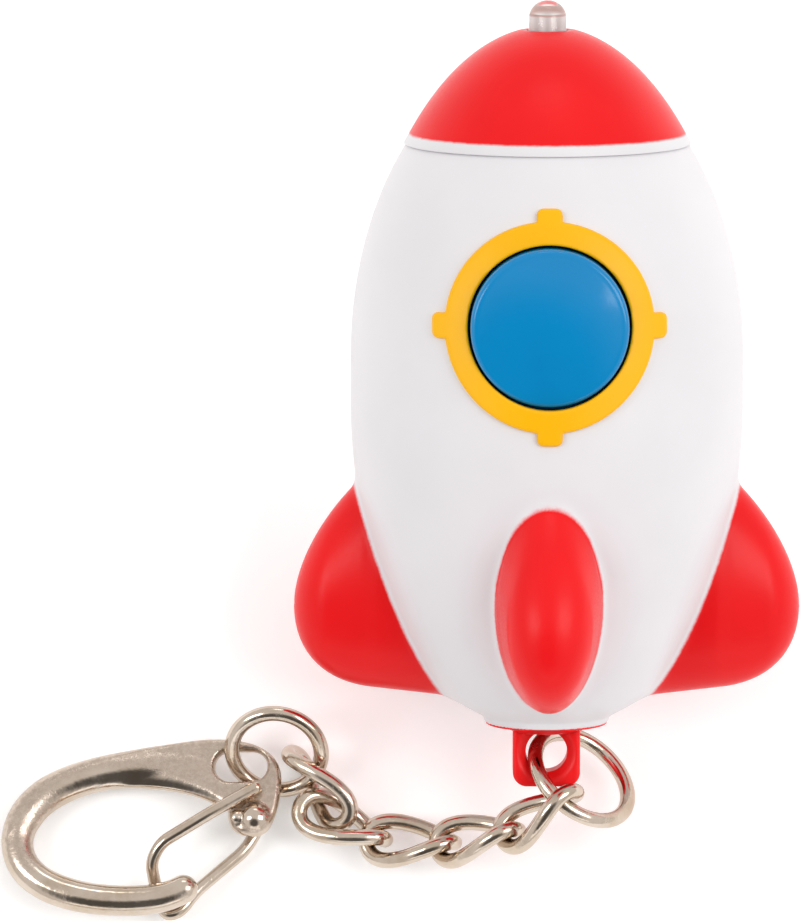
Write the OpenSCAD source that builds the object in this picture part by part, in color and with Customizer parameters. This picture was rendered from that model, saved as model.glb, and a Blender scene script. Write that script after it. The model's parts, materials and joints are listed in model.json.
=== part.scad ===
// Rocket-shaped LED key-chain torch, lying on the flattened back of its battery door.
// Millimetres. X is to the right, Y runs toward the nose, Z is up, and Z = 0 is the table.
// Rocket pieces are drawn upright (axis along Z, button side at -Y) and then laid down.

/* [Rocket body] */
// Nose-up tilt of the rocket as it lies on its back, degrees
tilt = 18; // [17:0.5:19]
// Widest outside radius of the body
body_r = 15.1; // [15:0.1:15.3]
// Wall thickness of the moulded shells
wall = 1.4; // [1.3:0.1:1.5]
// Depth of the flat that is cut into the back
flat_cut = 0.9; // [0.8:0.1:1]

/* [Nose] */
// Radius of the 3 mm LED lens
led_r = 1.5; // [1.4:0.1:1.5]
// Height of the LED tip above the widest section
led_tip = 27.4; // [27.2:0.1:27.6]

/* [Button] */
// Diameter of the push button
button_d = 12; // [11.8:0.1:12]
// Height of the button centre above the widest section
button_z = 3.8; // [3.6:0.1:4]
// Outside diameter of the porthole bezel
bezel_d = 15.9; // [15.6:0.1:16]
// Height of the bezel above the body
bezel_proud = 0.4; // [0.3:0.1:0.5]

/* [Fins] */
// Distance from the axis to the outermost edge of a fin
fin_reach = 19.5; // [19:0.1:19.6]
// Thickness of a fin at its root
fin_root = 8; // [7.6:0.1:8]

/* [Chain and hook] */
// Wire diameter of the curb links
link_wire = 1.25; // [1.2:0.05:1.25]
// Wire diameter of the two jump rings
ring_wire = 1.2; // [1.1:0.05:1.2]
// Thickness of the snap hook's flat plate
hook_plate = 1.2; // [1.1:0.05:1.2]
// Diameter of the snap hook's gate wire
gate_wire_d = 1; // [0.9:0.05:1]

/* [Hidden] */
$fn = 72;

// Profile of the body: half ellipses toward the nose and toward the tail, a short tube between
nose_semi = 23.5;      // height of the nose half ellipse
tail_semi = 26.6;      // height of the tail half ellipse
tube_z = -3.5;         // the tail ellipse starts here
shoulder_z = 16.4;     // the cap sits on this shoulder
rim_z = -26.5;         // a cone joins the tail ellipse to the base ring
base_z = -27.9;        // upper edge of the base ring
base_r = 4.85;         // radius of the base ring
foot_z = -28.45;       // underside of the base ring
play = 0.05;           // play between pieces that are fitted together
over = 0.5;            // how far a cut runs past the face it opens

// Cap profile
cap_r = 15.5;
cap_semi = 30.3;
cap_centre_z = -4.9;
cap_top_z = 25.1;
cap_wall = 1.3;
cap_ceiling_z = 23.7;
neck_r = 8.4;
neck_bore_r = 7.2;
neck_top_z = 18.4;

// Where a plane at this tilt touches the tail ellipse
slope_gain = tan(tilt) * pow(tail_semi / body_r, 2);
touch_r = body_r / sqrt(1 + pow(slope_gain * body_r / tail_semi, 2));
touch_z = tube_z - slope_gain * touch_r;

function body_radius(z) =
    z > 0 ? body_r * sqrt(1 - pow(z / nose_semi, 2)) :
    z > tube_z ? body_r :
    body_r * sqrt(1 - pow((z - tube_z) / tail_semi, 2));
function cap_radius(z) = cap_r * sqrt(1 - pow((z - cap_centre_z) / cap_semi, 2));

// A point on a cubic curve through p0 and p3 with handles p1 and p2
function bezier(p0, p1, p2, p3, t) =
    pow(1 - t, 3) * p0 + 3 * pow(1 - t, 2) * t * p1 + 3 * (1 - t) * t * t * p2 + pow(t, 3) * p3;

// Lays an upright rocket piece down onto the table
module lay() {
    rotate([-(90 - tilt), 0, 0])
        translate([0, flat_cut * cos(tilt) - touch_r, -flat_cut * sin(tilt) - touch_z])
            children();
}

// Frame of the battery door: X across, Z toward the nose, -Y into the rocket, Y = 0 at the touching plane
module door_frame() {
    translate([0, touch_r, touch_z]) rotate([-tilt, 0, 0]) children();
}

// Solid of revolution of the body, moved inward by inset, between two heights
module body_solid(inset, low, high) {
    steps = 20;
    rotate_extrude()
        polygon(concat(
            [[0, low]],
            [for (i = [0:steps]) let (z = low + (high - low) * i / steps) [body_radius(z) - inset, z]],
            [[0, high]]
        ));
}

// A box given by its lowest and its highest corner
module span(low, high) {
    translate(low) cube(high - low);
}

// Everything outward of the plane that lies depth inside the touching plane
module beyond_plane(depth) {
    door_frame() span([-30, -depth, -45], [30, 30, 60]);
}

// One fin on the +X side, a lens in section, thinner toward its rounded outer edge
module fin() {
    steps = 8;
    top = [14.2, -9.4];
    tip = [fin_reach, -19.4];
    heel = [13.2, -25.8];
    outline = concat(
        [[9, -10]],
        [for (i = [0:steps]) bezier(top, [17.2, -12.2], [fin_reach, -16.2], tip, i / steps)],
        [for (i = [1:steps]) bezier(tip, [fin_reach, -23.2], [17, -25.5], heel, i / steps)],
        [[8, -26.3], [5, -24]]
    );
    lens_r = 10.6;
    lens_z = -17.9;
    edge = 2.6;        // half thickness at the outer edge
    intersection() {
        rotate([90, 0, 0]) linear_extrude(fin_root + 2, center = true) polygon(outline);
        translate([0, lens_r - fin_root / 2, lens_z]) rotate([0, 90, 0])
            cylinder(r = lens_r, h = 2 * fin_reach + 4);
        translate([0, fin_root / 2 - lens_r, lens_z]) rotate([0, 90, 0])
            cylinder(r = lens_r, h = 2 * fin_reach + 4);
        translate([0, 0, -30]) linear_extrude(30)
            polygon([[0, -fin_root], [fin_reach + 1, -edge], [fin_reach + 1, edge], [0, fin_root]]);
    }
}

// The closed outside shape of both shells, with the fins and the flattened back
module outside() {
    difference() {
        union() {
            body_solid(0, rim_z, shoulder_z);
            translate([0, 0, base_z])
                cylinder(r1 = base_r + 0.15, r2 = body_radius(rim_z), h = rim_z - base_z);
            translate([0, 0, foot_z]) cylinder(r = base_r, h = base_z - foot_z);
            for (turn = [0, 180, -90]) rotate([0, 0, turn]) fin();
        }
        beyond_plane(flat_cut);
    }
}

// The hollow inside both shells
cavity_low = -25.4;
cavity_high = 15.1;
module cavity() {
    body_solid(wall, cavity_low, cavity_high);
}

// Outline of the bezel ring and its four lugs, seen along the button's axis
bezel_bore_d = button_d + 0.4;
module bezel_outline(grow = 0) {
    lug_w = 1.95;
    lug_reach = 8.9;
    bevel = 0.25;
    circle(d = bezel_d + 2 * grow);
    for (turn = [0:90:270]) rotate(turn)
        polygon([
            [-lug_w / 2 - grow, bezel_bore_d / 2], [lug_w / 2 + grow, bezel_bore_d / 2],
            [lug_w / 2 + grow, lug_reach + grow - bevel], [lug_w / 2 + grow - bevel, lug_reach + grow],
            [bevel - lug_w / 2 - grow, lug_reach + grow], [-lug_w / 2 - grow, lug_reach + grow - bevel]
        ]);
}

// Puts a shape drawn in the XY plane onto the button's axis, at Z = 0 on the rocket's axis, +Z outward
module button_axis() {
    translate([0, 0, button_z]) rotate([90, 0, 0]) children();
}

screw_x = 8.6;
screw_z = 10.5;
screw_seat = 5;        // the screw heads seat this far behind the parting plane
module screw_axes() {
    for (side = [-1, 1]) translate([side * screw_x, 0, screw_z]) rotate([90, 0, 0]) children();
}

// Neck, shoulder, tail slot and outside that both shells share, less their hollow
slot = [5.3, 3.1];
module shells() {
    difference() {
        union() {
            outside();
            translate([0, 0, cavity_high]) cylinder(r = neck_r, h = neck_top_z - cavity_high);
        }
        cavity();
        translate([0, 0, cavity_high - over]) cylinder(r = neck_bore_r, h = neck_top_z - cavity_high + 1);
        translate([-slot.x / 2, -slot.y / 2, foot_z - over]) cube([slot.x, slot.y, 5]);
    }
}

flange_face = 11.2;    // the button's flange stops against this face
module front_shell() color("white") lay() {
    difference() {
        intersection() {
            union() {
                shells();
                intersection() {
                    body_solid(wall / 2, rim_z, shoulder_z);
                    union() {
                        button_axis()
                            translate([0, 0, flange_face + play]) cylinder(d = bezel_d - 0.5, h = 4);
                        screw_axes() cylinder(r = 2.2, h = 12);
                    }
                }
            }
            span([-30, -30, -40], [30, 0, 40]);
        }
        button_axis() cylinder(d = bezel_bore_d, h = 30);
        screw_axes() translate([0, 0, -over]) cylinder(d = 2.05, h = 7.5);
        difference() {
            button_axis() linear_extrude(20) bezel_outline(play);
            body_solid(bezel_proud + play, rim_z, shoulder_z);
        }
    }
}

module back_shell() color("whitesmoke") lay() {
    difference() {
        intersection() {
            union() {
                shells();
                intersection() {
                    body_solid(wall / 2, rim_z, shoulder_z);
                    union() {
                        screw_axes() translate([0, 0, -12]) cylinder(r = 2.6, h = 12);
                        door_frame() span([-2.6, -door_boss, -13], [2.6, -door_t - play, -6.2]);
                    }
                }
            }
            span([-30, 0, -40], [30, 30, 40]);
        }
        screw_axes() translate([0, 0, -12]) cylinder(d = 2.2, h = 13);
        screw_axes() translate([0, 0, -20]) cylinder(d = 4, h = 20 - screw_seat);
        door_frame() translate([0, -door_t - play, 0]) rotate([-90, 0, 0]) door_outline(play);
        door_frame() translate([0, -door_boss - over, door_screw_s])
            rotate([-90, 0, 0]) cylinder(d = 1.65, h = 4);
    }
}

// Battery door, with its outline drawn from the screw end (+Y of the outline) to the tongue end
door_w = 15;
door_tail = 10;
door_nose = 9.5;
door_t = 3.05;         // the door reaches this far inward of the touching plane
door_screw_s = -8;     // the door's screw, along the touching plane
door_head_low = 2.3;   // underside of its head
door_tip = 5.2;        // its tip
door_boss = 5.3;       // the boss it is driven into ends here
tongue_w = 8;
tongue_t = 0.85;
tongue_low = 4.6;
tongue_reach = 1.5;
module door_outline(grow) {
    corner = 2.5;
    w = door_w / 2 + grow - corner;
    linear_extrude(6) union() {
        for (x = [-w, w]) for (y = [door_tail + grow - corner, corner - door_nose - grow])
            translate([x, y]) circle(r = corner, $fn = 36);
        translate([-w - corner, corner - door_nose - grow])
            square([2 * (w + corner), door_tail + door_nose + 2 * (grow - corner)]);
        translate([-w, -door_nose - grow]) square([2 * w, door_tail + door_nose + 2 * grow]);
    }
}

module battery_door() color("white") lay() {
    difference() {
        union() {
            intersection() {
                door_frame() translate([0, -door_t, 0]) rotate([-90, 0, 0]) door_outline(0);
                body_solid(0, rim_z, shoulder_z);
            }
            door_frame() span([-tongue_w / 2, -tongue_low, 7.6], [tongue_w / 2, -door_t, door_nose - 0.1]);
            door_frame() span([-tongue_w / 2, -tongue_low, door_nose - 0.1],
                              [tongue_w / 2, tongue_t - tongue_low, door_nose + tongue_reach]);
        }
        beyond_plane(flat_cut);
        door_frame() translate([0, -4, door_screw_s]) rotate([-90, 0, 0]) cylinder(d = 1.8, h = 6);
        door_frame() translate([0, -door_head_low, door_screw_s])
            rotate([-90, 0, 0]) cylinder(d = 3.5, h = 6);
    }
}

module door_screw() color("silver") lay() door_frame() translate([0, 0, door_screw_s]) rotate([-90, 0, 0]) {
    head_h = 1;
    cross = [2.4, 0.5];
    difference() {
        translate([0, 0, -door_head_low]) cylinder(d = 3.3, h = head_h);
        for (turn = [0, 90]) rotate(turn)
            translate([-cross.x / 2, -cross.y / 2, 0.6 - door_head_low]) cube([cross.x, cross.y, head_h]);
    }
    translate([0, 0, -door_tip]) cylinder(d = 1.6, h = door_tip - door_head_low);
}

module case_screws() color("silver") lay() screw_axes() {
    head_h = 1.3;
    reach = 6.5;       // length of the thread in front of the parting plane
    cross = [2.6, 0.6];
    translate([0, 0, -screw_seat - head_h]) difference() {
        cylinder(d = 3.6, h = head_h);
        for (turn = [0, 90]) rotate(turn)
            translate([-cross.x / 2, -cross.y / 2, -over]) cube([cross.x, cross.y, 1.1]);
    }
    translate([0, 0, -screw_seat]) cylinder(d = 2, h = screw_seat + reach);
}

module nose_cap() color("red") lay() {
    steps = 14;
    difference() {
        rotate_extrude() polygon(concat(
            [[0, shoulder_z + play]],
            [for (i = [0:steps])
                let (share = 1 - pow(1 - i / steps, 2), low = shoulder_z + play,
                    z = low + (cap_top_z - low) * share)
                [cap_radius(z), z]],
            [[0, cap_top_z]]
        ));
        rotate_extrude() polygon(concat(
            [[0, shoulder_z - over], [cap_radius(shoulder_z) - cap_wall, shoulder_z - over]],
            [for (i = [0:steps]) let (z = shoulder_z + (cap_ceiling_z - shoulder_z) * i / steps)
                [cap_radius(z) - cap_wall - 0.06 * (z - shoulder_z), z]],
            [[0, cap_ceiling_z]]
        ));
        cylinder(r = led_r + 0.1, h = 40);
    }
}

module window_bezel() color("gold") lay() {
    difference() {
        intersection() {
            button_axis() linear_extrude(20) bezel_outline();
            body_solid(-bezel_proud, rim_z, shoulder_z);
        }
        body_solid(bezel_proud, rim_z, shoulder_z);
        button_axis() cylinder(d = bezel_bore_d, h = 30);
    }
}

tab_w = 5.2;
tab_t = 3;
tab_end = -33.4;
eye_z = -30.7;
eye_r = 1.6;
module tail_tab() color("crimson") lay() {
    corner = 1.1;
    mouth = 0.6;
    difference() {
        union() {
            rotate([90, 0, 0]) linear_extrude(tab_t, center = true) {
                translate([-tab_w / 2, tab_end + corner])
                    square([tab_w, cavity_low - tab_end - corner + 0.1]);
                translate([corner - tab_w / 2, tab_end]) square([tab_w - 2 * corner, corner + 0.1]);
                for (x = [-1, 1]) translate([x * (tab_w / 2 - corner), tab_end + corner]) circle(r = corner);
            }
            translate([0, 0, cavity_low + play]) cylinder(r = 4, h = 0.9);
            translate([0, 0, foot_z - 0.25]) cylinder(r = base_r - 0.1, h = 0.2);
        }
        translate([0, 0, eye_z]) rotate([90, 0, 0]) {
            cylinder(r = eye_r, h = 10, center = true);
            for (side = [0, 180]) rotate([side, 0, 0]) translate([0, 0, tab_t / 2 - mouth])
                cylinder(r1 = eye_r, r2 = eye_r + mouth, h = mouth + 0.001);
        }
    }
}

// Cells, cradle and contacts
cell_r = 5.8;
cell_h = 5.4;
stack_low = -21.9;
cell_gap = 0.03;
cradle_r = 6.8;
cradle_low = -24.3;
cradle_high = -4.4;
module cell(index) {
    translate([0, 0, stack_low + index * (cell_h + cell_gap)]) {
        cylinder(r = cell_r, h = cell_h - 0.4);
        cylinder(r = cell_r - 0.7, h = cell_h);
    }
}
module cell_1() color("lightgray") lay() cell(0);
module cell_2() color("lightgray") lay() cell(1);
module cell_3() color("lightgray") lay() cell(2);

module battery_cradle() color("dimgray") lay() {
    difference() {
        union() {
            translate([0, 0, cradle_low]) cylinder(r = cradle_r, h = cradle_high - cradle_low);
            span([-11, -1.6, -17], [11, -0.1, -11]);
        }
        translate([0, 0, cradle_low + 0.8]) cylinder(r = cell_r + 0.1, h = cradle_high - cradle_low - 1.6);
        span([-12, 3.4, -40], [12, 20, 0]);
        span([-0.9, -cradle_r - over, cradle_low - over], [0.9, -2.8, cradle_low + 1.2]);
        span([-0.9, -4.2, cradle_high - 1.2], [0.9, -2.6, cradle_high + over]);
    }
}

module positive_contact() color("gold") lay() {
    translate([0, 0, cradle_high - 1.15]) cylinder(r = 4.4, h = 0.3);
    span([-0.75, -3.05, cradle_high - 1.15], [0.75, -2.75, -0.5]);
}

module negative_contact() color("gold") lay() {
    translate([0, 0, cradle_low + 0.85]) cylinder(r = 4.4, h = 0.3);
    span([-0.75, -7.2, cradle_low + 0.85], [0.75, -3, cradle_low + 1.15]);
    span([-0.75, -7.2, cradle_low + 0.85], [0.75, -6.9, -2.2]);
    span([-0.75, -7.2, -2.5], [0.75, -4.15, -2.2]);
}

// A round wire swept along a closed or open list of points. lift holds a side vector for each
// point, and radii one radius for the whole wire or a list with one for each point.
function unit(v) = v / norm(v);
function wire_ring(centre, along, lift, r, sides) =
    let (a = unit(cross(along, lift)), b = cross(unit(along), a))
    [for (k = [0:sides - 1]) centre + r * (cos(360 * k / sides) * a + sin(360 * k / sides) * b)];
module wire(path, radii, lift, closed = false, sides = 8) {
    n = len(path);
    rings = [for (i = [0:n - 1])
        let (before = closed ? path[(i + n - 1) % n] : path[max(i - 1, 0)],
             after = closed ? path[(i + 1) % n] : path[min(i + 1, n - 1)])
        wire_ring(path[i], after - before, lift[i], is_list(radii) ? radii[i] : radii, sides)];
    spans = closed ? n : n - 1;
    sides_faces = [for (i = [0:spans - 1]) for (k = [0:sides - 1])
        let (j = (i + 1) % n, m = (k + 1) % sides)
        [i * sides + k, j * sides + k, j * sides + m, i * sides + m]];
    ends = closed ? [] : [[for (k = [0:sides - 1]) k], [for (k = [sides - 1:-1:0]) (n - 1) * sides + k]];
    polyhedron(points = [for (ring = rings) for (p = ring) p], faces = concat(sides_faces, ends),
        convexity = 6);
}

module contact_spring() color("silver") lay() {
    turns = 2.5;
    per_turn = 14;
    last = turns * per_turn;
    low = cradle_low + 1.4;
    path = [for (i = [0:last]) let (t = i / last, r = 3.6 - 1.6 * t, a = 360 * turns * t)
        [r * cos(a), r * sin(a), low + 0.75 * t]];
    wire(path, 0.2, [for (p = path) [0, 0, 1]]);
}

board = [11.2, 1, 21.4];
board_low = -4.2;
board_face = -4.1;
module circuit_board() color("darkgreen") lay() {
    difference() {
        translate([-board.x / 2, board_face, board_low]) cube(board);
        for (x = [-1, 1])
            translate([x * 4.4, 0, 1.2]) rotate([90, 0, 0]) cylinder(d = 1.2, h = 20, $fn = 24);
    }
}

module resistor() color("black") lay() span([1.4, board_face + 1.02, 9], [3, board_face + 1.6, 12.2]);

switch_w = 7;
switch_top = 8.15;
plunger_d = 3.5;
module switch_body() color("black") lay() button_axis() {
    difference() {
        translate([-switch_w / 2, -switch_w / 2, -board_face + 0.02])
            cube([switch_w, switch_w, switch_top + board_face - 0.02]);
        translate([0, 0, 4.6]) cylinder(d = plunger_d + 0.1, h = 10);
    }
}

module led_lens() color("azure") lay() {
    dome = 1.1;
    rotate_extrude() polygon(concat(
        [[0, 22.1], [1.9, 22.1], [1.9, 23.1], [led_r, 23.1]],
        [for (a = [0:10:90]) [led_r * cos(a), led_tip - dome + dome * sin(a)]]
    ));
}

module led_leads() color("silver") lay() for (x = [-1.27, 1.27]) {
    span([x - 0.25, -0.25, 18.6], [x + 0.25, 0.25, 22.1]);
    span([x - 0.25, -3.05, 18.1], [x + 0.25, 0.25, 18.6]);
    span([x - 0.25, -3.05, 14], [x + 0.25, -2.55, 18.1]);
}

// Push button with its flange and stem, and the plunger of the switch that it presses
button_face = 15.05;
button_dome = 0.65;
module button() color("dodgerblue") lay() button_axis() {
    corner = 0.4;
    flange_r = 6.7;
    r = button_d / 2;
    rotate_extrude() polygon(concat(
        [[0, 9.15], [1.75, 9.15], [1.75, 10.2], [flange_r, 10.2], [flange_r, flange_face], [r, flange_face]],
        [for (a = [0:30:90]) [r - corner + corner * cos(a), button_face - corner + corner * sin(a)]],
        [for (x = [4:-1:0]) [x, button_face + button_dome * (1 - pow(x / (r - corner), 2))]]
    ));
}
module switch_plunger() color("white")
    lay() button_axis() translate([0, 0, 5.65]) cylinder(d = plunger_d, h = 3.5);

// Chain and hook. Each piece lies where the chain is laid out, at a place and with three turns:
// about Z, then nose up, then roll about its own length.
ring_r = 4.2;          // centre-line radius of the tail ring
clasp_r = 3.5;         // centre-line radius of the clasp ring
link_reach = 3.55;     // half length of a link's centre line
link_spread = 1.8;     // half width of a link's centre line
link_twist = 90;       // turn of one end of a link against the other
ring_pose = [[2.75, -19.35, 6.25], [-31, -15, 136]];
link_poses = [
    [[-0.65, -22.6, 8.25], [30, 25, -58]],
    [[-5.4, -24, 5.6], [7, 29, -46]],
    [[-10.55, -23.95, 3.3], [-4, 16, -37]],
    [[-15.75, -22.4, 2.55], [-21, -4, -42]],
    [[-17.65, -19.55, 2.6], [-53, 10, -107]]
];
clasp_pose = [[-20.9, -16.95, 3.55], [4, 11, 40]];
hook_pose = [[-22.55, -21.9, 3.05], [0, 4.5, -9]];

module placed(pose) {
    translate(pose[0]) rotate([0, 0, pose[1][0]]) rotate([0, -pose[1][1], 0]) rotate([pose[1][2], 0, 0])
        children();
}

module jump_ring(r) {
    rotate_extrude() translate([r, 0]) circle(d = ring_wire, $fn = 32);
}

// Turn of a twisted link's cross plane at the distance x from its middle
function link_turn(x) = -link_twist / 2 * x / link_reach;

module curb_link() {
    points = 32;
    flat = [for (i = [0:points - 1]) let (a = 360 * i / points)
        [link_reach * cos(a), link_spread * sin(a) * (1 + 0.25 * pow(cos(a), 2))]];
    path = [for (p = flat) [p.x, p.y * cos(link_turn(p.x)), p.y * sin(link_turn(p.x))]];
    wire(path, link_wire / 2, [for (p = flat) [0, -sin(link_turn(p.x)), cos(link_turn(p.x))]],
        closed = true);
}

module tail_ring() color("silver") placed(ring_pose) jump_ring(ring_r);
module chain_link_1() color("silver") placed(link_poses[0]) curb_link();
module chain_link_2() color("silver") placed(link_poses[1]) curb_link();
module chain_link_3() color("silver") placed(link_poses[2]) curb_link();
module chain_link_4() color("silver") placed(link_poses[3]) curb_link();
module chain_link_5() color("silver") placed(link_poses[4]) curb_link();
module clasp_ring() color("silver") placed(clasp_pose) jump_ring(clasp_r);

// Snap hook, drawn flat with its ball boss at the origin, the eye above it and the bow to the left
eye_centre = [-1.3, 4];
eye_half = 0.7;        // half distance between the eye's two round ends
eye_round = 1.45;      // radius of the eye's round ends
boss_r = 1.3;
pin_play = 0.05;
pin_bore_top = 0.35;   // the gate's pin bore ends here, short of the front
bow_r = 1.25;
module hook_outline() {
    steps = 8;
    corners = [
        [[-13, 4.2], [-8, 7], [1.2, 7.6], [2.25, 2.6]],
        [[2.25, 2.6], [2.2, 1.2], [1.6, -1.6], [0, -1.6]],
        [[0, -1.6], [-1.5, -1.6], [-2.3, -0.6], [-2.85, 0.95]],
        [[-2.85, 0.95], [-4.2, 2.2], [-8, 2.8], [-13, 2.6]]
    ];
    difference() {
        polygon([for (c = corners) for (i = [0:steps - 1]) bezier(c[0], c[1], c[2], c[3], i / steps)]);
        for (x = [-eye_half, eye_half]) translate(eye_centre + [x, 0]) circle(r = eye_round);
        translate(eye_centre - [eye_half, eye_round]) square([2 * eye_half, 2 * eye_round]);
    }
}

module hook_bow() {
    steps = 9;
    shank = [[-4.5, 4.2, 0], [-10, 4.6, 0], [-18.2, 3.2, 0], [-18.6, -1.6, 0]];
    crook = [[-18.6, -1.6, 0], [-18.9, -5.2, 0], [-14.6, -6.7, 0], [-10, -6.8, 0]];
    beak = [[-10, -6.8, 0], [-7.6, -6.8, 0], [-6.6, -6.5, 0], [-5.5, -5.9, 0]];
    heading = unit(beak[3] - beak[2]);
    tip_r = bow_r - 0.1;
    round_tip = [for (a = [30, 60, 85]) [sin(a), cos(a)]];
    path = concat(
        [for (c = [shank, crook]) for (i = [0:steps - 1]) bezier(c[0], c[1], c[2], c[3], i / steps)],
        [for (i = [0:4]) bezier(beak[0], beak[1], beak[2], beak[3], i / 4)],
        [for (t = round_tip) beak[3] + tip_r * t[0] * heading]
    );
    radii = concat(
        [for (i = [0:steps - 1]) 0.55 + (bow_r - 0.5) * sin(90 * min(1, 1.6 * i / steps))],
        [for (i = [0:steps - 1]) bow_r],
        [for (i = [0:4]) bow_r - 0.1 * i / 4],
        [for (t = round_tip) tip_r * t[1]]
    );
    wire(path, radii, [for (p = path) [0, 0, 1]]);
}

module snap_hook() color("silver") placed(hook_pose) {
    difference() {
        union() {
            linear_extrude(hook_plate, center = true) hook_outline();
            sphere(r = boss_r);
            hook_bow();
        }
        translate([0, 0, -boss_r - over])
            cylinder(d = gate_wire_d + 2 * pin_play, h = boss_r + over + pin_bore_top);
    }
}

// Gate wire: from its free end on the front of the plate, round behind the beak, to the pin in the boss
module gate_wire() color("silver") placed(hook_pose) {
    bend = 0.45;       // length taken off each side of a corner
    front = 1.2;       // height of the strand that crosses the plate's front
    back = -1.85;      // height of the strand behind the hook
    pin_top = 0.3;
    route = [
        [0.4, 2.1, front], [-3.4, -0.1, front], [-7.3, -2.3, 0.5], [-8.1, -3.6, -0.3], [-7.9, -4.8, -1.3],
        [-7.6, -6.2, back], [-7, -7.5, back], [-5.9, -7.2, back], [-4.7, -5.5, back - 0.05],
        [-0.9, -2.2, back], [0, -0.6, back], [0, 0, back]
    ];
    last = len(route) - 1;
    path = concat(
        [route[0]],
        [for (i = [1:last - 1]) for (end = [-1, 1]) let (q = route[i + end])
            route[i] + min(bend, norm(q - route[i]) / 3) * unit(q - route[i])],
        [route[last]]
    );
    wire(path, gate_wire_d / 2, [for (p = path) [0.3, -0.5, 1]]);
    translate([0, 0, back]) {
        cylinder(d = gate_wire_d, h = pin_top - back);
        sphere(d = gate_wire_d + 0.04);
    }
}

front_shell();
back_shell();
nose_cap();
window_bezel();
tail_tab();
battery_door();
door_screw();
case_screws();
battery_cradle();
cell_1();
cell_2();
cell_3();
positive_contact();
negative_contact();
contact_spring();
circuit_board();
resistor();
switch_body();
led_lens();
led_leads();
button();
switch_plunger();
tail_ring();
chain_link_1();
chain_link_2();
chain_link_3();
chain_link_4();
chain_link_5();
clasp_ring();
snap_hook();
gate_wire();
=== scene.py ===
import json
import math

import bmesh
import bpy
import numpy as np
from mathutils import Matrix, Vector


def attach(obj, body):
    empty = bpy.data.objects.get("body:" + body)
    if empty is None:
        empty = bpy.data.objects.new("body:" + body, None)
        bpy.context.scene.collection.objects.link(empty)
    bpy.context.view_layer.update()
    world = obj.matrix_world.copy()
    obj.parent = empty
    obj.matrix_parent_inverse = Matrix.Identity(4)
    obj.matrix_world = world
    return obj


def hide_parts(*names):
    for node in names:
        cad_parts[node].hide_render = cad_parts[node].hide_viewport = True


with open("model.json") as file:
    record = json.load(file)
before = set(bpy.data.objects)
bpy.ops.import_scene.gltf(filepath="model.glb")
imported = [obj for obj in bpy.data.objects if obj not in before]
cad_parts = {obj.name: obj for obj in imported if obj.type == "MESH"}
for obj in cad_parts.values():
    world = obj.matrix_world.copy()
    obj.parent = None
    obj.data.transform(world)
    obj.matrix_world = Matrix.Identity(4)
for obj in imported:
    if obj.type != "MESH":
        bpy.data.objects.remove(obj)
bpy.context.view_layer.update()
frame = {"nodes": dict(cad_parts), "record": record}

MM = 0.001

# Sizes of the rocket in millimetres, the main ones as in the CAD source. Rocket pieces are made
# upright, with the axis along Z and the button side at -Y, and then laid down onto the table.
TILT = math.radians(18)     # how far the nose stands up when the toy lies on its back
BODY_R = 15.1
FLAT_CUT = 0.9              # depth of the flat on the back that the toy rests on
WALL = 1.4
NOSE_SEMI, TAIL_SEMI = 23.5, 26.6       # half lengths of the body's two ellipses
TUBE_Z = -3.5               # the body is a straight tube from here up to zero
SHOULDER_Z = 16.4
RIM_Z, BASE_Z, FOOT_Z = -26.5, -27.9, -28.45
BASE_R = 4.85
CAP_R, CAP_SEMI, CAP_CENTRE_Z, CAP_TOP_Z = 15.5, 30.3, -4.9, 25.1
CAP_WHITE_RIM = 0.78        # height of the unpainted rim of the cap
LED_R, LED_TIP = 1.5, 27.4
LED_FLANGE_R, LED_FLANGE_LOW, LED_FLANGE_TOP = 1.9, 22.1, 23.1
BUTTON_D, BUTTON_Z, BUTTON_FACE, BUTTON_DOME, BUTTON_CORNER = 12.0, 3.8, 15.05, 0.63, 0.43
FLANGE_R, FLANGE_LOW, FLANGE_TOP = 6.7, 10.2, 11.2
STEM_R, STEM_LOW = 1.75, 9.15
BEZEL_D, BEZEL_PROUD, BEZEL_BORE_D = 15.9, 0.4, 12.4
LUG_HALF, LUG_REACH = 0.98, 8.9
FIN_REACH = 19.5
TAB_W, TAB_T, TAB_END, TAB_ROOT, EYE_Z, EYE_R = 5.2, 3.0, -33.4, -25.4, -30.7, 1.6
DOOR_W, DOOR_TAIL, DOOR_NOSE, DOOR_CORNER = 15.0, 10.0, 9.5, 2.5
DOOR_SCREW_S, DOOR_POCKET, DOOR_GAP = -8.0, 2.9, 0.06
SCREW_X, SCREW_Z, SCREW_WELL_R, SCREW_WELL_FLOOR = 8.6, 10.5, 2.0, 6.35

# Radius and height at which the body, without its flat, would touch the table
SLOPE_GAIN = math.tan(TILT) * (TAIL_SEMI / BODY_R) ** 2
TOUCH_R = BODY_R / math.sqrt(1 + (SLOPE_GAIN * BODY_R / TAIL_SEMI) ** 2)
TOUCH_Z = TUBE_Z - SLOPE_GAIN * TOUCH_R

# Grid steps of the implicit meshes in millimetres, and how often their points are evened out
SHELL_STEP, DOOR_STEP, BEZEL_STEP, TAB_STEP, HOOK_STEP = 0.26, 0.2, 0.14, 0.13, 0.14
RELAX_ROUNDS = 3

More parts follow.
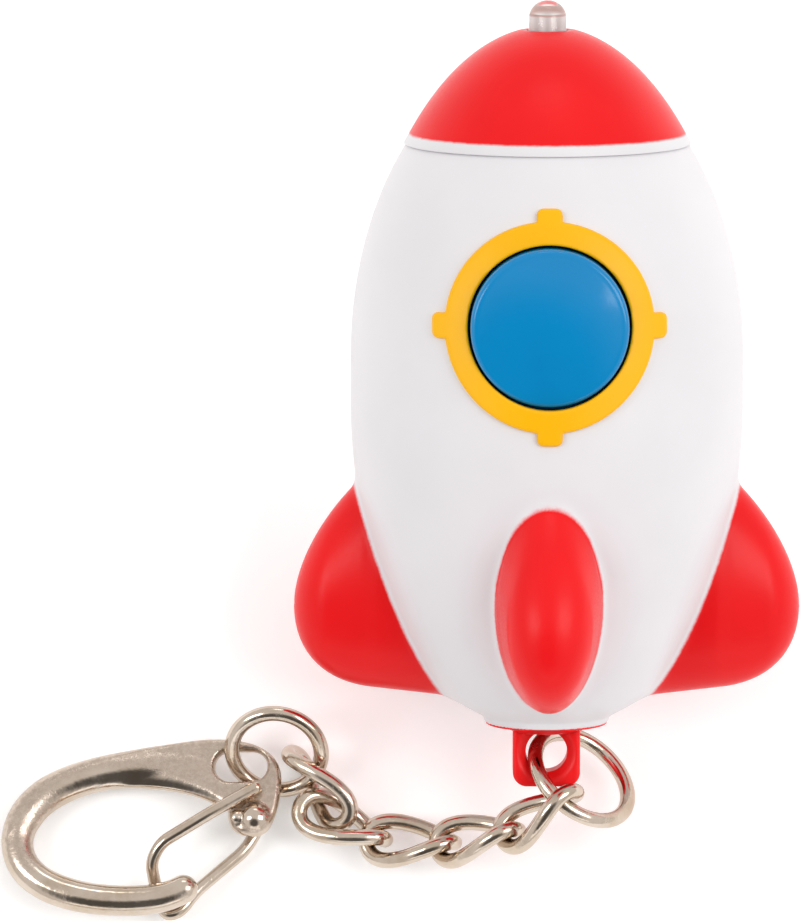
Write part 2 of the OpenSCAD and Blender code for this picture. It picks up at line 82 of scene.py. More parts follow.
# Chain and hook: place in millimetres, then turn about Z, nose up, and roll, in degrees
LINK_WIRE, RING_WIRE, GATE_WIRE = 1.25, 1.2, 1.0
RING_R, CLASP_R = 4.2, 3.5
LINK_REACH, LINK_SPREAD, LINK_TWIST = 3.55, 1.8, 90.0
RING_POSE = ((2.75, -19.35, 6.25), (-31, -15, 136))
LINK_POSES = [
    ((-0.65, -22.6, 8.25), (30, 25, -58)),
    ((-5.4, -24, 5.6), (7, 29, -46)),
    ((-10.55, -23.95, 3.3), (-4, 16, -37)),
    ((-15.75, -22.4, 2.55), (-21, -4, -42)),
    ((-17.65, -19.55, 2.6), (-53, 10, -107)),
]
CLASP_POSE = ((-20.9, -16.95, 3.55), (4, 11, 40))
HOOK_POSE = ((-22.55, -21.9, 3.05), (0, 4.5, -9))


def pose_matrix(pose):
    place, (turn, pitch, roll) = pose
    return (
        Matrix.Translation(Vector(place))
        @ Matrix.Rotation(math.radians(turn), 4, "Z")
        @ Matrix.Rotation(math.radians(-pitch), 4, "Y")
        @ Matrix.Rotation(math.radians(roll), 4, "X")
    )


LAY = Matrix.Rotation(TILT - math.pi / 2, 4, "X") @ Matrix.Translation(
    Vector((0, FLAT_CUT * math.cos(TILT) - TOUCH_R, -FLAT_CUT * math.sin(TILT) - TOUCH_Z))
)


# ---- Mesh helpers ---------------------------------------------------------------------------


def new_piece(name, points, faces, body, transform, replaces=()):
    """A mesh piece from points in millimetres, placed by transform, riding on a CAD body."""
    mesh = bpy.data.meshes.new(name)
    mesh.from_pydata([tuple(p) for p in points], [], [tuple(f) for f in faces])
    mesh.transform(Matrix.Scale(MM, 4) @ transform)
    mesh.polygons.foreach_set("use_smooth", [True] * len(mesh.polygons))
    mesh.update()
    piece = bpy.data.objects.new(name, mesh)
    bpy.context.scene.collection.objects.link(piece)
    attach(piece, body)
    if replaces:
        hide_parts(*replaces)
    return piece


def set_attribute(piece, name, values):
    attribute = piece.data.attributes.new(name, "FLOAT", "POINT")
    attribute.data.foreach_set("value", np.asarray(values, np.float32))


def give(piece, material):
    piece.data.materials.clear()
    piece.data.materials.append(material)


def gradient(field, points):
    """Slope of a field at each point, by central differences."""
    h = 0.02
    out = np.empty_like(points)
    for axis in range(3):
        step = np.zeros(3)
        step[axis] = h
        out[:, axis] = (field(points + step) - field(points - step)) / (2 * h)
    return out


def onto_surface(field, points, step, rounds):
    """Moves the points along the slope to the field's zero surface, half a step at most each round."""
    for _ in range(rounds):
        slope = gradient(field, points)
        size = np.maximum((slope**2).sum(1), 0.05)
        move = -(field(points) / size)[:, None] * slope
        length = np.maximum(np.linalg.norm(move, axis=1), 1e-9)
        points = points + move * np.minimum(1, 0.5 * step / length)[:, None]
    return points


def implicit_mesh(field, low, high, step):
    """Even quads on the zero surface of field, which is negative inside. Returns points and faces."""
    axes = [np.arange(a, b + step, step) for a, b in zip(low, high)]
    grid = np.stack(np.meshgrid(*axes, indexing="ij"), -1)
    value = field(grid.reshape(-1, 3)).reshape(grid.shape[:3])
    inside = value < 0
    cells = np.array(value.shape) - 1
    corners = [(i, j, k) for i in (0, 1) for j in (0, 1) for k in (0, 1)]

    def corner(array, c):
        return array[c[0]:c[0] + cells[0], c[1]:c[1] + cells[1], c[2]:c[2] + cells[2]]

    count = sum(corner(inside, c).astype(int) for c in corners)
    active = (count > 0) & (count < 8)
    index = np.full(active.shape, -1)
    index[active] = np.arange(active.sum())
    total = np.zeros((active.sum(), 3))
    hits = np.zeros(active.sum())
    for a in corners:
        for axis in range(3):
            if a[axis]:
                continue
            b = tuple(v + (n == axis) for n, v in enumerate(a))
            va, vb = corner(value, a)[active], corner(value, b)[active]
            crosses = (va < 0) != (vb < 0)
            share = np.where(crosses, va / np.where(crosses, va - vb, 1), 0)
            spot = np.array(a, float) + np.eye(3)[axis] * share[:, None]
            total += spot * crosses[:, None]
            hits += crosses
    points = np.array(low) + (np.argwhere(active) + total / hits[:, None]) * step
    faces = []
    for axis in range(3):
        one, two = [n for n in range(3) if n != axis]
        first = np.moveaxis(inside, axis, 0)[:-1]
        second = np.moveaxis(inside, axis, 0)[1:]
        spots = np.argwhere(np.moveaxis(first != second, 0, axis))
        fine = (spots[:, one] > 0) & (spots[:, two] > 0)
        fine &= (spots[:, one] < cells[one]) & (spots[:, two] < cells[two])
        spots = spots[fine]
        quad = []
        for back_one, back_two in ((1, 1), (0, 1), (0, 0), (1, 0)):
            cell = spots.copy()
            cell[:, one] -= back_one
            cell[:, two] -= back_two
            quad.append(index[tuple(cell.T)])
        quad = np.stack(quad, 1)
        leaving = inside[tuple(spots.T)]
        flip = leaving if axis == 1 else ~leaving
        quad[flip] = quad[flip][:, ::-1]
        faces.append(quad)
    faces = np.concatenate(faces)
    edges = np.concatenate([faces[:, [n, (n + 1) % 4]] for n in range(4)])
    for _ in range(RELAX_ROUNDS):
        around = np.zeros_like(points)
        degree = np.zeros(len(points))
        np.add.at(around, edges[:, 0], points[edges[:, 1]])
        np.add.at(degree, edges[:, 0], 1)
        around = around / np.maximum(degree, 1)[:, None]
        points = onto_surface(field, (points + around) / 2, step, 2)
    return onto_surface(field, points, step, 2), faces


def smooth_min(a, b, k):
    """The smaller of two distances, blended over the width k where they are close."""
    h = np.clip(0.5 + 0.5 * (b - a) / k, 0, 1)
    return b + (a - b) * h - k * h * (1 - h)


def smooth_max(a, b, k):
    return -smooth_min(-a, -b, k)


def lathe(profile, segments, closed=False):
    """Points and faces of a profile of (radius, height) turned about Z. Radius 0 ends are poles."""
    points, rows = [], []
    for r, z in profile:
        if r < 1e-6:
            rows.append([len(points)] * segments)
            points.append((0, 0, z))
            continue
        rows.append(list(range(len(points), len(points) + segments)))
        for n in range(segments):
            angle = 2 * math.pi * n / segments
            points.append((r * math.cos(angle), r * math.sin(angle), z))
    faces = []
    pairs = list(zip(rows, rows[1:])) + ([(rows[-1], rows[0])] if closed else [])
    for lower, upper in pairs:
        for n in range(segments):
            m = (n + 1) % segments
            face = []
            for v in (lower[n], lower[m], upper[m], upper[n]):
                if v not in face:
                    face.append(v)
            if len(face) > 2:
                faces.append(face)
    return points, faces


def rounded_path(points, radius, steps):
    """A path or profile whose corners are rounded by small curves."""
    points = [np.array(p, float) for p in points]
    out = [points[0]]
    for before, here, after in zip(points, points[1:], points[2:]):
        reach_a = min(radius, np.linalg.norm(before - here) * 0.45)
        reach_b = min(radius, np.linalg.norm(after - here) * 0.45)
        a = here + (before - here) / np.linalg.norm(before - here) * reach_a
        b = here + (after - here) / np.linalg.norm(after - here) * reach_b
        for n in range(steps + 1):
            t = n / steps
            out.append((1 - t) ** 2 * a + 2 * t * (1 - t) * here + t * t * b)
    out.append(points[-1])
    return out


def sweep(path, radii, sides=28, start_side=(0, 0, 1)):
    """Points and faces of a round wire along path, with flat ends."""
    path = np.array(path, float)
    along = np.gradient(path, axis=0)
    along /= np.linalg.norm(along, axis=1)[:, None]
    side = np.array(start_side, float)
    points = []
    for spot, t, radius in zip(path, along, radii):
        side = side - t * (side @ t)
        side = side / np.linalg.norm(side)
        other = np.cross(t, side)
        for k in range(sides):
            angle = 2 * math.pi * k / sides
            points.append(spot + radius * (math.cos(angle) * side + math.sin(angle) * other))
    faces = []
    for n in range(len(path) - 1):
        for k in range(sides):
            j = (k + 1) % sides
            row = n * sides
            faces.append((row + k, row + j, row + sides + j, row + sides + k))
    last = (len(path) - 1) * sides
    faces.append(tuple(range(sides - 1, -1, -1)))
    faces.append(tuple(last + k for k in range(sides)))
    return points, faces


def bezier(p0, p1, p2, p3, steps, last=False):
    """Points along a cubic curve. Its end point is left to the next curve unless last is set."""
    p0, p1, p2, p3 = (np.array(p, float) for p in (p0, p1, p2, p3))
    t = np.linspace(0, 1, steps + 1)[:, None]
    curve = (1 - t) ** 3 * p0 + 3 * t * (1 - t) ** 2 * p1 + 3 * t * t * (1 - t) * p2 + t**3 * p3
    return curve if last else curve[:-1]


def polygon_distance(points, corners):
    """Signed distance of 2-D points to a closed outline, negative inside."""
    best = np.full(len(points), 1e9)
    sign = np.ones(len(points))
    for a, b in zip(corners, np.roll(corners, 1, 0)):
        edge, w = b - a, points - a
        t = np.clip((w @ edge) / (edge @ edge), 0, 1)
        best = np.minimum(best, ((w - t[:, None] * edge) ** 2).sum(1))
        above, below = points[:, 1] >= a[1], points[:, 1] < b[1]
        left = edge[0] * w[:, 1] > edge[1] * w[:, 0]
        sign[(above & below & left) | (~above & ~below & ~left)] *= -1
    return sign * np.sqrt(best)


# ---- Fields of the rocket, upright, in millimetres ---------------------------------------------


def body_profile(z):
    """Radius of the body at a height, and the slope of that radius."""
    up = np.clip(z, 0, NOSE_SEMI - 2)
    down = np.clip(z - TUBE_Z, -TAIL_SEMI + 2.5, 0)
    nose = BODY_R * np.sqrt(1 - (up / NOSE_SEMI) ** 2)
    tail = BODY_R * np.sqrt(1 - (down / TAIL_SEMI) ** 2)
    radius = np.where(z > 0, nose, np.where(z > TUBE_Z, BODY_R, tail))
    nose_slope = -BODY_R * up / NOSE_SEMI**2 / np.sqrt(1 - (up / NOSE_SEMI) ** 2)
    tail_slope = -BODY_R * down / TAIL_SEMI**2 / np.sqrt(1 - (down / TAIL_SEMI) ** 2)
    slope = np.where(z > 0, nose_slope, np.where(z > TUBE_Z, 0, tail_slope))
    return radius, slope


def body_distance(p):
    """Distance outward of the bare body of revolution, without its ends."""
    radius, slope = body_profile(p[:, 2])
    return (np.hypot(p[:, 0], p[:, 1]) - radius) / np.sqrt(1 + slope**2)


# Edges of a fin by distance from the axis, and its half thickness
FIN_TOP = np.concatenate([
    [(0, -9.4)],
    bezier((14.2, -9.4), (17.2, -12.2), (FIN_REACH, -16.2), (FIN_REACH, -19.4), 16, last=True),
])
FIN_HEEL = np.concatenate([
    [(0, -26.6), (8, -26.4)],
    bezier((13.2, -25.8), (17, -25.5), (FIN_REACH, -23.2), (FIN_REACH, -19.4), 16, last=True),
])
FIN_HALF, FIN_TAPER, FIN_TAPER_START = 4.05, 0.2, 13.0
FIN_CREST = 2.6        # the crest is rounded over this distance from the outer edge


def fin_distance(outward, across, z):
    """A fin with an elliptical section between its two edges, thinner outward, with a round crest."""
    top = np.interp(outward, *FIN_TOP.T)
    heel = np.interp(outward, *FIN_HEEL.T)
    crest = np.clip((outward - FIN_REACH + FIN_CREST) / FIN_CREST, 0, 0.999)
    half = FIN_HALF - FIN_TAPER * np.maximum(outward - FIN_TAPER_START, 0)
    half = half * np.sqrt(1 - crest**2)
    height = np.maximum((top - heel) / 2, 0.05)
    section = np.hypot(across / half, (z - (top + heel) / 2) / height) - 1
    return np.maximum(section * np.minimum(half, height) * 0.8, (outward - FIN_REACH) * 0.5)


def fins_distance(p):
    """Distance to the two side fins and the front one."""
    out = np.full(len(p), 9.0)
    for turn in ((1, 0), (-1, 0), (0, -1)):
        outward = p[:, 0] * turn[0] + p[:, 1] * turn[1]
        across = p[:, 1] * turn[0] - p[:, 0] * turn[1]
        near = (outward > 6) & (np.abs(across) < 7) & (p[:, 2] < -6)
        out[near] = np.minimum(out[near], fin_distance(outward[near], across[near], p[near, 2]))
    return out


def door_axes(p):
    """Coordinates in the door's frame: across, outward of the touching plane, toward the nose."""
    y, z = p[:, 1] - TOUCH_R, p[:, 2] - TOUCH_Z
    c, s = math.cos(TILT), math.sin(TILT)
    return p[:, 0], c * y - s * z, s * y + c * z


def rounded_box_distance(u, v, half_u, half_v, corner):
    """Signed distance to a rectangle with round corners, centred at zero."""
    a = np.abs(u) - half_u + corner
    b = np.abs(v) - half_v + corner
    outer = np.hypot(np.maximum(a, 0), np.maximum(b, 0))
    return outer + np.minimum(np.maximum(a, b), 0) - corner


def door_outline_distance(p, grow):
    """Distance to the battery door's outline, made larger all round by grow."""
    across, _, along = door_axes(p)
    middle = (DOOR_NOSE - DOOR_TAIL) / 2
    half = (DOOR_NOSE + DOOR_TAIL) / 2 + grow
    return rounded_box_distance(across, along - middle, DOOR_W / 2 + grow, half, DOOR_CORNER)


def button_radius(p):
    """Distance from the button's axis."""
    return np.hypot(p[:, 0], p[:, 2] - BUTTON_Z)


def outside_distance(p):
    """The outside of the two shells together: body, base ring, fins, shoulder and flat back."""
    radius = np.hypot(p[:, 0], p[:, 1])
    run, drop = 2.6, RIM_Z - BASE_Z
    cone = ((radius - BASE_R - 0.15) * drop + (BASE_Z - p[:, 2]) * run) / math.hypot(run, drop)
    hull = smooth_max(body_distance(p), cone, 0.5)
    ring = smooth_max(radius - BASE_R, np.abs(p[:, 2] - (FOOT_Z + RIM_Z) / 2) - (RIM_Z - FOOT_Z) / 2, 0.25)
    hull = smooth_min(hull, ring, 0.25)
    hull = smooth_min(hull, fins_distance(p), 0.5)
    hull = smooth_max(hull, p[:, 2] - SHOULDER_Z, 0.1)
    _, outward, _ = door_axes(p)
    return smooth_max(hull, outward + FLAT_CUT, 0.6)


def button_well_distance(p):
    """Room for the button's flange and stem over the whole travel."""
    flange_room = smooth_max(button_radius(p) - FLANGE_R - 0.3, FLANGE_LOW - 1.1 + p[:, 1], 0.1)
    stem_room = smooth_max(button_radius(p) - STEM_R - 0.55, STEM_LOW - 4.65 + p[:, 1], 0.1)
    return np.where(p[:, 1] < 0, np.minimum(flange_room, stem_room), 9)


def shell_distance(p):
    """Both shells as one closed skin with the button well, the screw wells and the door's pocket."""
    d = smooth_max(outside_distance(p), -button_well_distance(p), 0.15)
    for x in (-SCREW_X, SCREW_X):
        beside = np.hypot(p[:, 0] - x, p[:, 2] - SCREW_Z) - SCREW_WELL_R
        d = smooth_max(d, -np.maximum(beside, SCREW_WELL_FLOOR - p[:, 1]), 0.25)
    _, outward, _ = door_axes(p)
    pocket = np.maximum(door_outline_distance(p, DOOR_GAP), -DOOR_POCKET - outward)
    return smooth_max(d, -pocket, 0.2)


def paint_edge(p):
    """Millimetres inside the red paint: on the fins above their root, and under the base ring."""
    on_fin = np.where(fins_distance(p) < 0.5, body_distance(p) - 0.22, -1.0)
    return np.maximum(on_fin, FOOT_Z - 0.02 - p[:, 2])


def shell_half(points, faces, edge, side):
    """The part of the skin on one side of the parting plane, with a lip turned in along the cut."""
    half_seam, lip_depth = 0.03, WALL * 0.8
    mesh = bmesh.new()
    layer = mesh.verts.layers.float.new("paint_edge")
    made = [mesh.verts.new(p) for p in points]
    for vertex, value in zip(made, edge):
        vertex[layer] = value
    for face in faces:
        mesh.faces.new([made[v] for v in face])
    bmesh.ops.bisect_plane(
        mesh, geom=mesh.verts[:] + mesh.edges[:] + mesh.faces[:], dist=1e-5,
        plane_co=(0, half_seam * side, 0), plane_no=(0, -side, 0), clear_outer=True)
    mesh.normal_update()
    rim = [e for e in mesh.edges if e.is_boundary]
    normals = {v: v.normal.copy() for e in rim for v in e.verts}
    lip = bmesh.ops.extrude_edge_only(mesh, edges=rim)["geom"]
    lip_verts = [g for g in lip if isinstance(g, bmesh.types.BMVert)]
    outward = {}
    for vertex in lip_verts:
        for neighbour in (e.other_vert(vertex) for e in vertex.link_edges):
            if neighbour in normals:
                outward[vertex] = Vector((normals[neighbour].x, 0, normals[neighbour].z))
    for vertex, flat in outward.items():
        if flat.length > 1e-4:
            vertex.co -= flat.normalized() * lip_depth
        vertex[layer] = -1
    return mesh


def make_shells(material):
    points, faces = implicit_mesh(shell_distance, (-20.3, -20.3, -29.2), (20.3, 15.6, 17.2), SHELL_STEP)
    edge = paint_edge(points)
    for name, node, side in (("shell_front", "front_shell", -1), ("shell_back", "back_shell", 1)):
        half = shell_half(points, faces, edge, side)
        mesh = bpy.data.meshes.new(name)
        half.to_mesh(mesh)
        half.free()
        mesh.transform(Matrix.Scale(MM, 4) @ LAY)
        mesh.polygons.foreach_set("use_smooth", [True] * len(mesh.polygons))
        piece = bpy.data.objects.new(name, mesh)
        bpy.context.scene.collection.objects.link(piece)
        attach(piece, "rocket")
        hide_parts(node)
        give(piece, material)


def make_door(material):
    """The battery door, flush with the flat back, with its screw hole and a finger notch."""
    screw_r, screw_floor, floor_gap = 1.75, 2.3, 0.1
    notch_s, notch_r, notch_floor = 7.2, 1.1, 1.5

    def field(p):
        across, outward, along = door_axes(p)
        d = smooth_max(body_distance(p), outward + FLAT_CUT, 0.6)
        d = smooth_max(d, door_outline_distance(p, 0), 0.3)
        d = smooth_max(d, -outward - DOOR_POCKET + floor_gap, 0.1)
        screw = np.hypot(across, along - DOOR_SCREW_S) - screw_r
        d = smooth_max(d, -np.maximum(screw, -screw_floor - outward), 0.2)
        notch = np.hypot(across * 0.45, along - notch_s) - notch_r
        return smooth_max(d, -np.maximum(notch, -notch_floor - outward), 0.3)

    points, faces = implicit_mesh(field, (-8, 8, -24), (8, 15.6, 6), DOOR_STEP)
    piece = new_piece("door", points, faces, "rocket", LAY, ["battery_door"])
    set_attribute(piece, "paint_edge", np.full(len(points), -1.0))
    give(piece, material)


def cap_radius(z):
    return CAP_R * math.sqrt(1 - ((z - CAP_CENTRE_Z) / CAP_SEMI) ** 2)


def make_nose_cap(material):
    low, wall, steps = SHOULDER_Z + 0.01, 1.6, 70
    hole, hole_low = LED_R + 0.05, 23.7
    edge = cap_radius(low)
    skirt = [(edge - 1.3, low), (edge - 0.06, low), (edge - 0.02, low + 0.02), (edge - 0.01, low + 0.07)]
    outer = []
    for n in range(1, steps + 1):
        z = low + (CAP_TOP_Z - low) * (1 - (1 - n / steps) ** 2)
        outer.append((cap_radius(z), z))
    crown = [(hole + 0.3, CAP_TOP_Z + 0.02), (hole + 0.08, CAP_TOP_Z)]
    crown += [(hole, CAP_TOP_Z - 0.1), (hole, hole_low)]
    inner = [(cap_radius(z) - wall, z) for z in np.linspace(hole_low, low, 12)]
    points, faces = lathe(skirt + outer[3:] + crown + inner, 160, closed=True)
    piece = new_piece("nose", points, faces, "rocket", LAY, ["nose_cap"])
    set_attribute(piece, "paint_edge", [p[2] - low - CAP_WHITE_RIM for p in points])
    give(piece, material)


def bezel_outline_distance(p):
    """The porthole ring's outline seen from the front: a disc with four lugs."""
    x, z = p[:, 0], p[:, 2] - BUTTON_Z
    ring = np.hypot(x, z) - BEZEL_D / 2
    out = ring
    for along, across in ((x, z), (z, x)):
        reach = np.abs(along)
        lug = smooth_max(np.abs(across) - LUG_HALF, reach - LUG_REACH, 0.6)
        out = np.minimum(out, smooth_max(lug, 5 - reach, 0.1))
    return out


def make_bezel(material):
    def field(p):
        skin = body_distance(p)
        d = smooth_max(bezel_outline_distance(p), skin - BEZEL_PROUD, 0.22)
        d = smooth_max(d, -skin - 0.5, 0.1)
        return smooth_max(d, BEZEL_BORE_D / 2 - button_radius(p), 0.18)

    points, faces = implicit_mesh(field, (-9.6, -16.2, -6), (9.6, -10, 13.6), BEZEL_STEP)
    piece = new_piece("porthole_ring", points, faces, "rocket", LAY, ["window_bezel"])
    give(piece, material)


BUTTON_FRAME = LAY @ Matrix.Translation(Vector((0, 0, BUTTON_Z))) @ Matrix.Rotation(math.pi / 2, 4, "X")


def make_button(material):
    r, corner = BUTTON_D / 2, BUTTON_CORNER
    profile = [(0, STEM_LOW), (STEM_R, STEM_LOW), (STEM_R, FLANGE_LOW), (FLANGE_R, FLANGE_LOW)]
    profile += [(FLANGE_R, FLANGE_TOP), (r, FLANGE_TOP), (r, 12.5)]
    for n in range(9):
        angle = math.pi / 2 * n / 8
        up = BUTTON_FACE - corner + corner * math.sin(angle)
        profile.append((r - corner + corner * math.cos(angle), up))
    flat = r - corner
    for n in range(1, 25):
        x = flat * (1 - n / 24)
        profile.append((x if x > 0.01 else 0, BUTTON_FACE + BUTTON_DOME * (1 - (x / flat) ** 2)))
    points, faces = lathe(profile, 144)
    piece = new_piece("push_button", points, faces, "button", BUTTON_FRAME, ["button"])
    give(piece, material)


def make_tab(material):
    """The flat tab with its funnel-shaped eye, and the thin collar that shows under the base."""
    corner, half_collar, funnel_depth = 1.1, 0.12, 0.6
    middle, half = (TAB_END + TAB_ROOT) / 2, (TAB_ROOT - TAB_END) / 2

    def field(p):
        x, y, z = p.T
        outline = rounded_box_distance(x, z - middle, TAB_W / 2, half, corner)
        d = smooth_max(outline, np.abs(y) - TAB_T / 2, 0.35)
        collar = smooth_max(np.hypot(x, y) - BASE_R + 0.14, np.abs(z - FOOT_Z) - half_collar, 0.05)
        d = smooth_min(d, collar, 0.25)
        funnel = EYE_R + np.clip(np.abs(y) - TAB_T / 2 + funnel_depth, 0, 0.8)
        return smooth_max(d, funnel - np.hypot(x, z - EYE_Z), 0.25)

    points, faces = implicit_mesh(field, (-5.4, -5.4, -34), (5.4, 5.4, -26.4), TAB_STEP)
    piece = new_piece("chain_tab", points, faces, "rocket", LAY, ["tail_tab"])
    give(piece, material)


def make_lens(glass, metal):
    """The LED's clear dome and the pale cup inside it."""
    dome, taper = 1.3, 0.06
    shoulder = LED_R - taper
    profile = [(0, LED_FLANGE_LOW), (LED_FLANGE_R, LED_FLANGE_LOW)]
    profile += [(LED_FLANGE_R, LED_FLANGE_TOP), (LED_R, LED_FLANGE_TOP)]
    for n in range(25):
        angle = math.pi / 2 * n / 24
        r = shoulder * math.cos(angle)
        profile.append((r if n < 24 else 0, LED_TIP - dome + dome * math.sin(angle)))
    points, faces = lathe(profile, 96)
    piece = new_piece("led_dome", points, faces, "rocket", LAY, ["led_lens"])
    give(piece, glass)
    cup = [(0, 23.2), (1.28, 23.2), (1.2, 26.3), (1.0, 26.32), (0.5, 25.9), (0, 25.8)]
    points, faces = lathe(rounded_path(cup, 0.1, 3), 72)
    piece = new_piece("led_cup", points, faces, "rocket", LAY)
    set_attribute(piece, "height", [p[2] for p in points])
    give(piece, metal)


def link_path(points):
    """A curb link's wire: an oval whose two ends are twisted against each other."""
    t = np.linspace(0, 2 * np.pi, points, endpoint=False)
    x = LINK_REACH * np.cos(t)
    y = LINK_SPREAD * np.sin(t) * (1 + 0.25 * np.cos(t) ** 2)
    turn = -np.radians(LINK_TWIST) / 2 * x / LINK_REACH
    return np.stack([x, y * np.cos(turn), y * np.sin(turn)], 1)


def split_path(path, start, gap):
    """The closed path opened at one point, with a small gap where the wire's two ends meet."""
    path = np.roll(path, -start, 0)
    path = np.concatenate([path, path[:1]])
    first, last = path[1] - path[0], path[-2] - path[-1]
    path[0] += first / np.linalg.norm(first) * gap / 2
    path[-1] += last / np.linalg.norm(last) * gap / 2
    return path


def wire_ends(radius, count):
    """Radii along a cut wire, a little smaller at its two ends."""
    radii = np.full(count, radius)
    radii[0] = radii[-1] = radius * 0.93
    return radii


def covered_point(path, others):
    """Index of the point of a wire that lies most squarely under another wire, where a joint hides."""
    gaps = np.hypot(path[:, None, 0] - others[None, :, 0], path[:, None, 1] - others[None, :, 1])
    below = others[None, :, 2] > path[:, None, 2] + LINK_WIRE / 2
    return int(np.argmin(np.where(below, gaps, 9).min(1)))


def make_chain(material):
    gap = 0.04
    link = link_path(120)
    turn = np.linspace(0, 2 * np.pi, 144, endpoint=False)
    circle = np.stack([np.cos(turn), np.sin(turn), 0 * turn], 1)
    rows = [
        (f"curb_link_{number}", f"chain_link_{number}", link, LINK_WIRE, pose)
        for number, pose in enumerate(LINK_POSES, 1)
    ]
    rows.append(("jump_ring_tail", "tail_ring", RING_R * circle, RING_WIRE, RING_POSE))
    rows.append(("jump_ring_clasp", "clasp_ring", CLASP_R * circle, RING_WIRE, CLASP_POSE))
    routes = [
        np.array([pose_matrix(pose) @ Vector(p) for p in path]) for _, _, path, _, pose in rows
    ]
    for n, (name, node, path, wire, pose) in enumerate(rows):
        others = np.concatenate(routes[:n] + routes[n + 1:])
        path = split_path(path, covered_point(routes[n], others), gap)
        points, faces = sweep(path, wire_ends(wire / 2, len(path)))
        piece = new_piece(name, points, faces, node, pose_matrix(pose), [node])
        give(piece, material)


# ---- Snap hook, flat, with its ball boss at the origin -------------------------------------------

BOSS_R, BOW_R = 1.3, 1.25
EYE_CENTRE, EYE_HALF, EYE_ROUND = (-1.15, 3.97), 0.8, 1.23
HOOK_OUTER = np.concatenate([
    bezier((-19.4, -2), (-19.45, 0.2), (-18.4, 1.6), (-17.3, 2.6), 8),
    bezier((-17.3, 2.6), (-14.5, 4.9), (-9, 5.55), (-5, 6.1), 14),
    bezier((-5, 6.1), (-1.8, 6.5), (1.9, 6), (2, 3), 14),
    bezier((2, 3), (2, 1.6), (1.7, -1.7), (0, -1.7), 10),
    bezier((0, -1.7), (-1.6, -1.7), (-2.3, -0.8), (-2.3, 0.3), 8, last=True),
])
HOOK_OPENING = np.concatenate([
    bezier((-2.3, 0.3), (-4, 1.9), (-8.5, 2.8), (-12.6, 2.15), 14),
    bezier((-12.6, 2.15), (-15, 1.75), (-16.9, 0.4), (-17.4, -1.6), 10),
    [(-17.4, -9), (-2.3, -9)],
])
# Along X: half height of the plate, and the widths of its rounded inner and outer flanks
PLATE_HEIGHT = ((-17, -13, -9, -5, -2), (1.22, 1.1, 0.9, 0.7, 0.6))
INNER_FLANK = ((-17, -15, -12, -9, -7, -5, -2.5, -1.5), (1.25, 1.6, 2, 1.85, 1.35, 0.95, 0.75, 0.4))
OUTER_FLANK = ((-17, -13, -9, -5), (1.25, 0.9, 0.55, 0.4))
BOW = np.concatenate([
    bezier((-4.5, 4.2), (-10, 4.6), (-18.2, 3.2), (-18.52, -1.6), 20),
    bezier((-18.52, -1.6), (-18.8, -5.2), (-14.6, -6.7), (-10, -6.8), 20),
    bezier((-10, -6.8), (-7.6, -6.8), (-6.6, -6.5), (-5.5, -5.9), 8, last=True),
])


def bow_distance(p):
    """The bow: a round bar, thin where it leaves the plate and a little thinner at its tip."""
    root_r, tip_taper = 0.5, 0.12
    best = np.full(len(p), 1e9)
    count = len(BOW)
    for n, (a, b) in enumerate(zip(BOW, BOW[1:])):
        edge, w = b - a, p[:, :2] - a
        t = np.clip((w @ edge) / (edge @ edge), 0, 1)
        flat = ((w - t[:, None] * edge) ** 2).sum(1)
        share = (n + t) / (count - 1)
        radius = root_r + (BOW_R - root_r) * np.sin(np.pi / 2 * np.clip(share * 3.6, 0, 1))
        radius = radius - tip_taper * np.clip(share * 3 - 2, 0, 1)
        best = np.minimum(best, np.sqrt(flat + p[:, 2] ** 2) - radius)
    return best


def plate_flanks(p):
    """Share of the plate's inner and outer flank at each point: 1 at the edge, 0 on the flat face."""
    inner = 1 - polygon_distance(p[:, :2], HOOK_OPENING) / np.interp(p[:, 0], *INNER_FLANK)
    outer = 1 + polygon_distance(p[:, :2], HOOK_OUTER) / np.interp(p[:, 0], *OUTER_FLANK)
    return np.maximum(inner, 0), np.maximum(outer, 0)


def hook_distance(p):
    """The snap hook: plate, bow, ball boss, a small knob beside it, eye, and hole for the gate's pin."""
    boss, knob, knob_r = (0, -0.25, 0.05), (-1.4, -0.25, 0.35), 0.68
    pin_hole_r, pin_hole_top = 0.55, 0.35
    height = np.interp(p[:, 0], *PLATE_HEIGHT)
    inner, outer = plate_flanks(p)
    section = np.sqrt(inner**1.5 + outer**2 + (p[:, 2] / height) ** 2 + 1e-9)
    d = (section - 1) * height * 0.8
    d = smooth_min(d, bow_distance(p), 0.5)
    d = smooth_min(d, np.linalg.norm(p - boss, axis=1) - BOSS_R, 0.2)
    d = smooth_min(d, np.linalg.norm(p - knob, axis=1) - knob_r, 0.15)
    across = np.maximum(np.abs(p[:, 0] - EYE_CENTRE[0]) - EYE_HALF, 0)
    flare = np.clip(np.abs(p[:, 2]) - 0.15, 0, 0.6) * 0.45
    eye = np.hypot(across, p[:, 1] - EYE_CENTRE[1]) - EYE_ROUND - flare
    d = smooth_max(d, -eye, 0.12)
    pin_hole = np.maximum(np.hypot(p[:, 0], p[:, 1]) - pin_hole_r, p[:, 2] - pin_hole_top)
    return smooth_max(d, -pin_hole, 0.08)


def matte_share(p):
    """1 on the flat faces of the plate and on the worn stretch of the bow, 0 on polished metal."""
    inner, outer = plate_flanks(p)
    flat = np.clip(1.6 - 4 * inner, 0, 1) * np.clip(3 - 3.4 * outer, 0, 1) * (p[:, 0] > -17)
    proud = np.abs(p[:, 2]) - np.interp(p[:, 0], *PLATE_HEIGHT)
    flat = flat * np.clip(1.5 - 5 * proud, 0, 1)
    worn = np.clip(1.3 - np.hypot((p[:, 0] + 17.4) / 2.6, (p[:, 1] + 0.6) / 4.2) ** 3, 0, 1)
    return np.maximum(flat, worn) * (np.abs(p[:, 2]) > 0.3)


